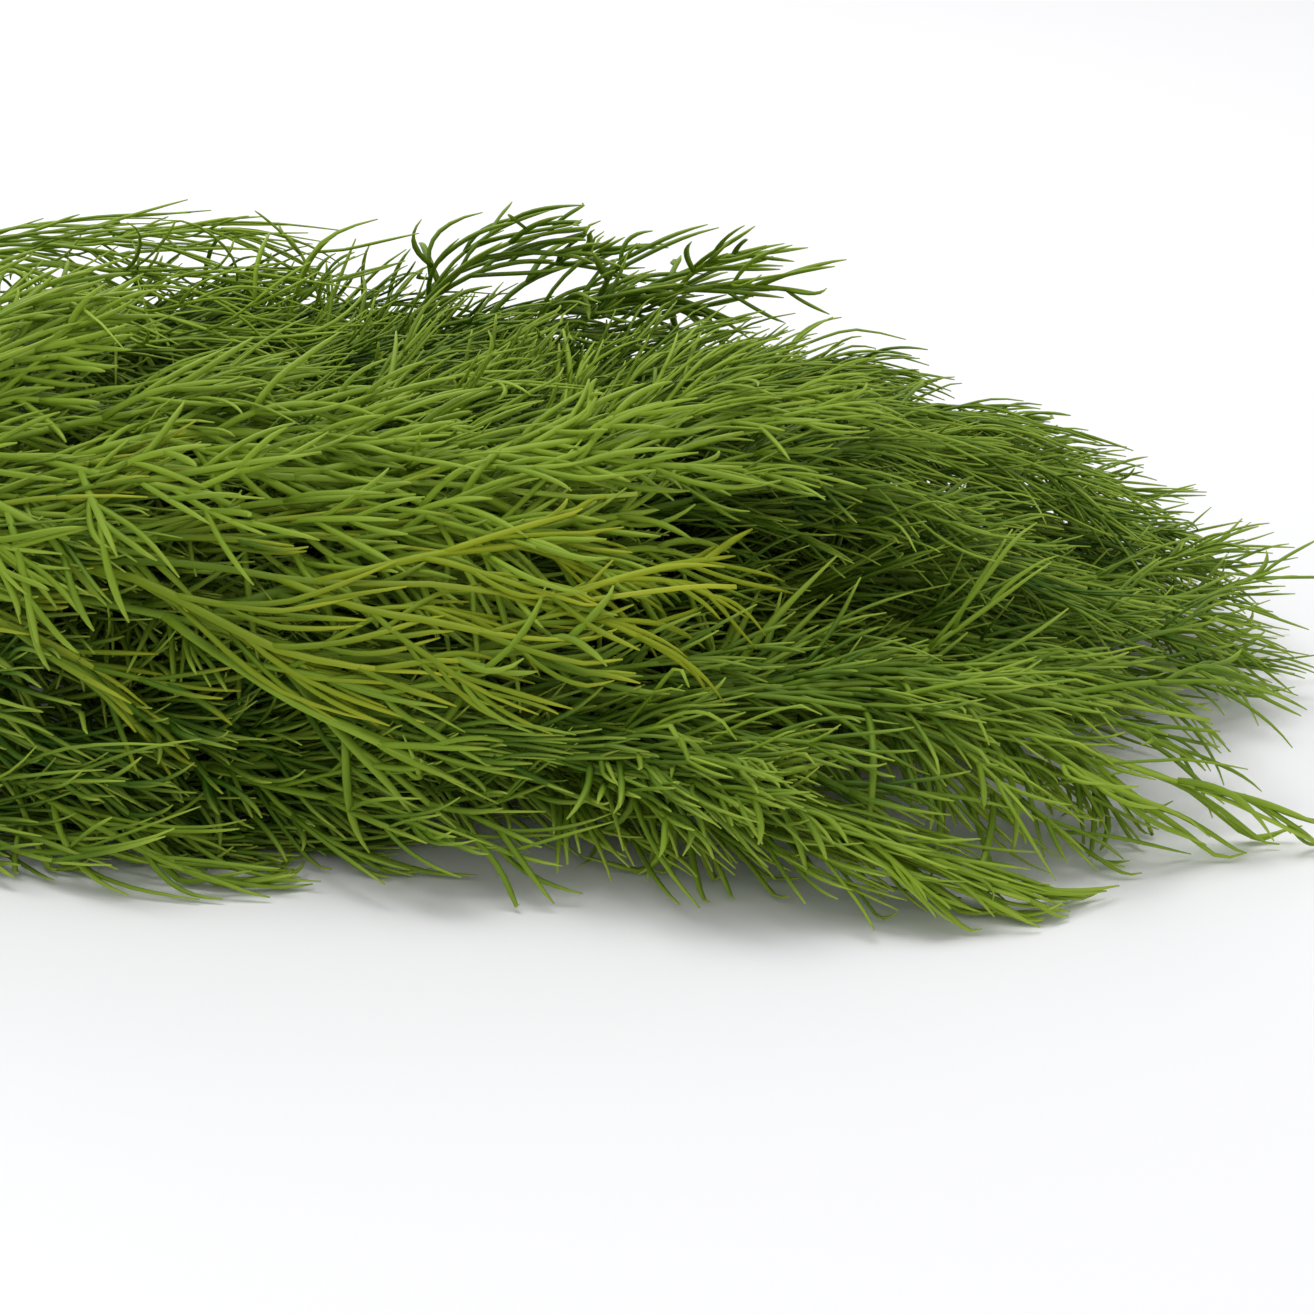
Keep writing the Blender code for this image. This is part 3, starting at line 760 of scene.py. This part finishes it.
for number, name in enumerate(frond_names):
    rng = np.random.default_rng(FROND_SEED + number)
    habit = HABITS.get(name, {})
    phase = rng.uniform(0.0, 2.0 * math.pi, 2)
    swing = rng.uniform(2.0, 7.0)
    tone = np.array(habit.get("tone", (rng.uniform(0.0, 0.3), rng.uniform(0.2, 0.65))))
    lean = habit.get("lean", rng.uniform(0.8, 1.2))
    bold = habit.get("bold", 1.0)
    sparse = habit.get("sparse", 1.0)
    curl = habit.get("curl", 0.17)
    room = habit.get("room", (LOOSE_BESIDE, LOOSE_OVER))
    held = leaf_frame(name, phase, swing, habit.get("route"))
    leaf = held[0][-1] * habit.get("reach", 1.0)
    start = leaf * habit.get("bare", rng.uniform(0.05, 0.2))
    sway = rng.normal(0.0, 0.1, (1, 3)) + (0.0, 0.0, 2.0 * habit.get("rise", 0.0))
    rib = Shoots(np.zeros((1, 3)), np.array([[leaf, 0.0, 0.0]]), np.zeros((1, 3)),
                 np.zeros((1, 3)), np.array([leaf]), tone[:1], sway)
    branches = side_shoots(rng, rib, first=start, spare=10.0, spacing=15.0 * sparse,
                           angles=(0.5 * lean, 0.34 * lean), tilt=0.45, pull=0.6, curl=curl,
                           length=lambda rest: 12.0 + 36.0 * (rest / leaf) ** 0.8)
    branches.tone += (tone[1] - tone[0]) * (branches.start[:, 0] / leaf) ** 1.5
    branches = fitting(branches, held, room, most=16.0)
    twigs = side_shoots(rng, branches, first=5.0, spare=5.0, spacing=7.5 * sparse,
                        angles=(0.55 * lean, 0.38 * lean), tilt=0.6, pull=0.6, curl=curl,
                        length=lambda rest: 7.0 + 0.45 * rest)
    twigs = fitting(twigs, held, room, most=11.0)
    threads = side_shoots(rng, twigs, first=3.0, spare=3.5, spacing=5.2,
                          angles=(0.55 * lean, 0.38 * lean), tilt=0.7, pull=0.6, curl=1.4 * curl,
                          length=lambda rest: 6.0 + 0.55 * rest)
    threads = fitting(threads, held, room, most=7.0)
    groups = [
        threads_of(rng, rib, held, room, MIDRIB_RADIUS, MIDRIB_END_RADIUS,
                   even=0.0, rings=40, sides=8),
        threads_of(rng, branches, held, room, BRANCH_RADIUS * bold, TIP_RADIUS,
                   even=0.5, rings=12, sides=6),
        threads_of(rng, twigs, held, room, TWIG_RADIUS * bold, TIP_RADIUS,
                   even=0.6, rings=9, sides=5),
        threads_of(rng, threads, held, room, THREAD_RADIUS * bold, TIP_RADIUS,
                   even=0.6, rings=8, sides=4),
    ]
    finish = yellow_finish if name == yellow_frond else green_finish
    piece = tube_piece(name + "_leaf", groups, finish)
    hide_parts(name)

# ---------------------------------------------------------------------------------------------
# Rubber band. A plain flat band of natural rubber wound three times round the stalks. Its turns
# lie side by side, and where it starts again it crosses over them on top.
# ---------------------------------------------------------------------------------------------
BAND_TURNS = 3
BAND_HALF_WIDTH = 0.9
BAND_HALF_THICKNESS = 0.55
BAND_GAP = 0.15              # between the band and the stalks' radius, which their ribs take up
BAND_PITCH = 2.3
BAND_POINTS = 360
BAND_SIDES = 16
BAND_SQUARENESS = 4.0        # the power of its cross-section's rounded oblong
BAND_EASING = 3              # rounds
WRAP_DIRECTIONS = 720
CROSSING_SHARE = 0.13        # of the band's whole length
CROSSING_LIFT = 2.1          # of its half thickness


def band_finish():
    """Natural rubber, cut from a tube and dusted with talc: tan, matte, faintly cloudy, with fine
    cut marks across it."""
    material, tree, shader = finish_named("natural rubber")
    place = add(tree, "ShaderNodeTexCoord")
    # Clouds 5 mm across, marks 0.25 mm apart
    clouds = add(tree, "ShaderNodeTexNoise", {"Vector": place.outputs["Object"],
                 "Scale": scale_for(5.0), "Detail": 3.0})
    marks = add(tree, "ShaderNodeTexNoise", {"Vector": place.outputs["Object"],
                "Scale": scale_for(0.25), "Detail": 2.0})
    tan = add(tree, "ShaderNodeMix", {"Factor": clouds.outputs["Fac"], "A": linear("#B98F5A"),
              "B": linear("#D9BC8C")}, data_type="RGBA")
    dust = add(tree, "ShaderNodeMapRange", {"Value": marks.outputs["Fac"], "To Min": 0.5,
               "To Max": 0.75})
    bump = add(tree, "ShaderNodeBump", {"Height": marks.outputs["Fac"], "Strength": 0.3,
               "Distance": 0.08 * MM})
    tree.links.new(tan.outputs["Result"], shader.inputs["Base Color"])
    tree.links.new(dust.outputs["Result"], shader.inputs["Roughness"])
    tree.links.new(bump.outputs["Normal"], shader.inputs["Normal"])
    shader.inputs["IOR"].default_value = 1.52
    return material


# The shortest closed way round the stalks, at the band: in each direction, the stalk that reaches
# furthest
band_low, band_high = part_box("rubber_band")
band_x = 0.5 * (band_low.x + band_high.x) / MM
centres = []
for name in stalk_names:
    stops, middles, halves = stations_of(name)
    radius = np.interp(band_x, stops, np.linalg.norm(halves, axis=1))
    centres.append((*rows_at(band_x, stops, middles[:, 1:]), radius))
centres = np.array(centres)
middle = centres[:, :2].mean(axis=0)
facing = np.linspace(0.0, 2.0 * math.pi, WRAP_DIRECTIONS + 1)[:-1]
normal = np.stack((np.cos(facing), np.sin(facing)), axis=-1)
reached = centres[:, :2] @ normal.T + centres[:, 2:]
touched = reached.argmax(axis=0)
wrap = (centres[touched, :2]
        + normal * (centres[touched, 2:] + BAND_HALF_THICKNESS + BAND_GAP))
wrap = np.concatenate((wrap, wrap[:1]))
wrap_way = np.concatenate(([0.0], np.cumsum(np.linalg.norm(np.diff(wrap, axis=0), axis=1))))
wrap_way = wrap_way / wrap_way[-1]


def band_path(share):
    """The middle of the band at a share of its whole length: round the stalks on the shortest
    closed way, across by the turns' pitch, and back to the start by an S-curve, 3 t^2 - 2 t^3,
    lifted over the other turns by half a sine wave."""
    turn = (share * BAND_TURNS) % 1.0
    spot = rows_at(turn, wrap_way, wrap)
    back = np.clip((share - 1.0 + CROSSING_SHARE) / CROSSING_SHARE, 0.0, 1.0)
    back = back * back * (3.0 - 2.0 * back)
    onward = share / (1.0 - CROSSING_SHARE)
    across = np.where(share < 1.0 - CROSSING_SHARE, onward, 1.0 - back) - 0.5
    lift = CROSSING_LIFT * BAND_HALF_THICKNESS * np.sin(math.pi * back)
    spot = spot + lift[:, None] * unit(spot - middle)
    return np.column_stack((band_x + across * BAND_PITCH * (BAND_TURNS - 1), spot))


path = band_path(np.arange(BAND_POINTS) / BAND_POINTS)
for _ in range(BAND_EASING):
    path = 0.25 * np.roll(path, 1, axis=0) + 0.5 * path + 0.25 * np.roll(path, -1, axis=0)
ahead = unit(np.roll(path, -1, axis=0) - np.roll(path, 1, axis=0))
across = np.broadcast_to((1.0, 0.0, 0.0), path.shape)
across = unit(across - (across * ahead).sum(-1, keepdims=True) * ahead)
outwards = np.cross(across, ahead)
outwards *= np.sign((outwards[:, 1:] * (path[:, 1:] - middle)).sum(-1, keepdims=True))
angle = angles_round(BAND_SIDES)
square = (np.abs(np.cos(angle)) ** BAND_SQUARENESS
          + np.abs(np.sin(angle)) ** BAND_SQUARENESS) ** (-1.0 / BAND_SQUARENESS)
flat_way = BAND_HALF_WIDTH * np.cos(angle) * square
deep_way = BAND_HALF_THICKNESS * np.sin(angle) * square
points = (path[:, None] + flat_way[None, :, None] * across[:, None]
          + deep_way[None, :, None] * outwards[:, None])
points[..., 2] = np.maximum(points[..., 2], OFF_TABLE)
ring, side = np.meshgrid(np.arange(BAND_POINTS), np.arange(BAND_SIDES), indexing="ij")
next_ring = (ring + 1) % BAND_POINTS
next_side = (side + 1) % BAND_SIDES
faces = np.stack((ring * BAND_SIDES + side, ring * BAND_SIDES + next_side,
                  next_ring * BAND_SIDES + next_side, next_ring * BAND_SIDES + side), axis=-1)
band_mesh = bpy.data.meshes.new("rubber_band_turns")
band_mesh.from_pydata((points.reshape(-1, 3) * MM).tolist(), [], faces.reshape(-1, 4).tolist())
band_mesh.shade_smooth()
band_uv = np.stack((np.stack((side, side + 1, side + 1, side), axis=-1) / BAND_SIDES,
                    np.stack((ring, ring, ring + 1, ring + 1), axis=-1) / BAND_POINTS), axis=-1)
layer = band_mesh.uv_layers.new(name="OFBake")
layer.uv.foreach_set("vector", band_uv.astype(np.float32).ravel())
band_mesh.materials.append(band_finish())
band = bpy.data.objects.new("rubber_band_turns", band_mesh)
bpy.context.collection.objects.link(band)
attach(band, "root")
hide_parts("rubber_band")
